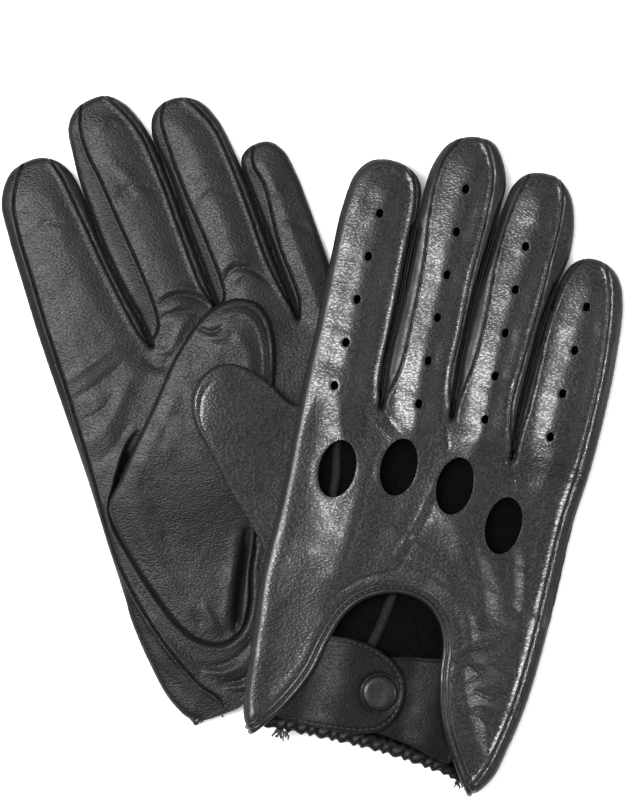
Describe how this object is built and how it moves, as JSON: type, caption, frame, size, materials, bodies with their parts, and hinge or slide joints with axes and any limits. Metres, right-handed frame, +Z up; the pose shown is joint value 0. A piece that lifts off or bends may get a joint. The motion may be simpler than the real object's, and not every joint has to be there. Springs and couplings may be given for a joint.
{
  "type": "driving gloves",
  "caption": "Pair of leather driving gloves with knuckle openings, vent holes, a wrist arch and a snap strap, lying one on the other, palm up and back up.",
  "frame": {"origin": "middle of the pair's footprint, on the surface that it lies on", "axes": "+Z up from the surface, +Y towards the fingertips, +X from the left glove towards the right glove"},
  "size_m": [0.2264, 0.2505, 0.0235],
  "materials": {
    "leather": "glossy grained nappa",
    "binding_leather": "smooth folded edge",
    "snap_metal": "satin",
    "elastic": "woven"
  },
  "bodies": {
    "left_hand": {"left_hand_back": "leather", "left_hand_palm": "leather", "left_thumb_gusset": "leather", "left_arch_binding": "binding_leather", "left_strap_base": "leather", "left_snap_stud": "snap_metal", "left_snap_post": "snap_metal", "left_hem_casing": "leather", "left_elastic_band": "elastic"},
    "left_index": {"left_index_back": "leather", "left_index_palm": "leather", "left_index_fourchette": "leather"},
    "left_middle": {"left_middle_back": "leather", "left_middle_palm": "leather", "left_middle_inner_fourchette": "leather", "left_middle_outer_fourchette": "leather"},
    "left_ring": {"left_ring_back": "leather", "left_ring_palm": "leather", "left_ring_inner_fourchette": "leather", "left_ring_outer_fourchette": "leather"},
    "left_little": {"left_little_back": "leather", "left_little_palm": "leather", "left_little_fourchette": "leather"},
    "left_thumb": {"left_thumb_front": "leather", "left_thumb_back": "leather"},
    "left_strap": {"left_strap_tab": "leather", "left_snap_cap": "leather", "left_snap_socket": "snap_metal"},
    "right_hand": {"right_hand_back": "leather", "right_hand_palm": "leather", "right_thumb_gusset": "leather", "right_arch_binding": "binding_leather", "right_strap_base": "leather", "right_snap_stud": "snap_metal", "right_snap_post": "snap_metal", "right_hem_casing": "leather", "right_elastic_band": "elastic"},
    "right_index": {"right_index_back": "leather", "right_index_palm": "leather", "right_index_fourchette": "leather"},
    "right_middle": {"right_middle_back": "leather", "right_middle_palm": "leather", "right_middle_inner_fourchette": "leather", "right_middle_outer_fourchette": "leather"},
    "right_ring": {"right_ring_back": "leather", "right_ring_palm": "leather", "right_ring_inner_fourchette": "leather", "right_ring_outer_fourchette": "leather"},
    "right_little": {"right_little_back": "leather", "right_little_palm": "leather", "right_little_fourchette": "leather"},
    "right_thumb": {"right_thumb_front": "leather", "right_thumb_back": "leather"},
    "right_strap": {"right_strap_tab": "leather", "right_snap_cap": "leather", "right_snap_socket": "snap_metal"}
  },
  "joints": [
    {"name": "right_glove_lift", "type": "slide", "parent": "left_hand", "child": "right_hand", "axis": [0, 0, 1], "range_m": [0, 0.12]},
    {"name": "left_index_bend", "type": "hinge", "parent": "left_hand", "child": "left_index", "pos_m": [-0.07931, 0.03707, 0.007], "axis": [0.9371, 0.3489, 0], "range_deg": [0, 75]},
    {"name": "left_middle_bend", "type": "hinge", "parent": "left_hand", "child": "left_middle", "pos_m": [-0.04886, 0.04815, 0.007], "axis": [0.9324, 0.3614, 0], "range_deg": [0, 75]},
    {"name": "left_ring_bend", "type": "hinge", "parent": "left_hand", "child": "left_ring", "pos_m": [-0.02453, 0.05701, 0.007], "axis": [0.9403, 0.3404, 0], "range_deg": [0, 75]},
    {"name": "left_little_bend", "type": "hinge", "parent": "left_hand", "child": "left_little", "pos_m": [-0.00366, 0.0646, 0.007], "axis": [0.9433, 0.332, 0], "range_deg": [0, 75]},
    {"name": "left_thumb_swing", "type": "hinge", "parent": "left_hand", "child": "left_thumb", "pos_m": [-0.06987, -0.01212, 0.0104], "axis": [0, 0, -1], "range_deg": [-35, 0]},
    {"name": "left_strap_open", "type": "hinge", "parent": "left_hand", "child": "left_strap", "pos_m": [-0.0359, -0.07355, 0.0017], "axis": [-0.0011, 1, 0], "range_deg": [0, 80]},
    {"name": "right_index_bend", "type": "hinge", "parent": "right_hand", "child": "right_index", "pos_m": [0.00912, 0.01699, 0.01728], "axis": [0.9753, -0.2101, -0.0679], "range_deg": [0, 40]},
    {"name": "right_middle_bend", "type": "hinge", "parent": "right_hand", "child": "right_middle", "pos_m": [0.03685, 0.01314, 0.01531], "axis": [0.9737, -0.2176, -0.0677], "range_deg": [0, 40]},
    {"name": "right_ring_bend", "type": "hinge", "parent": "right_hand", "child": "right_ring", "pos_m": [0.06149, 0.00279, 0.01368], "axis": [0.971, -0.2294, -0.0673], "range_deg": [0, 40]},
    {"name": "right_little_bend", "type": "hinge", "parent": "right_hand", "child": "right_little", "pos_m": [0.08602, -0.00804, 0.01205], "axis": [0.9719, -0.2257, -0.0674], "range_deg": [0, 40]},
    {"name": "right_thumb_bend", "type": "hinge", "parent": "right_hand", "child": "right_thumb", "pos_m": [-0.01159, -0.01047, 0.02153], "axis": [0.2058, 0.9781, -0.0305], "range_deg": [0, 60]},
    {"name": "right_strap_open", "type": "hinge", "parent": "right_hand", "child": "right_strap", "pos_m": [-0.00084, -0.08339, 0.01959], "axis": [-0.5262, -0.8488, 0.0518], "range_deg": [0, 120]}
  ]
}
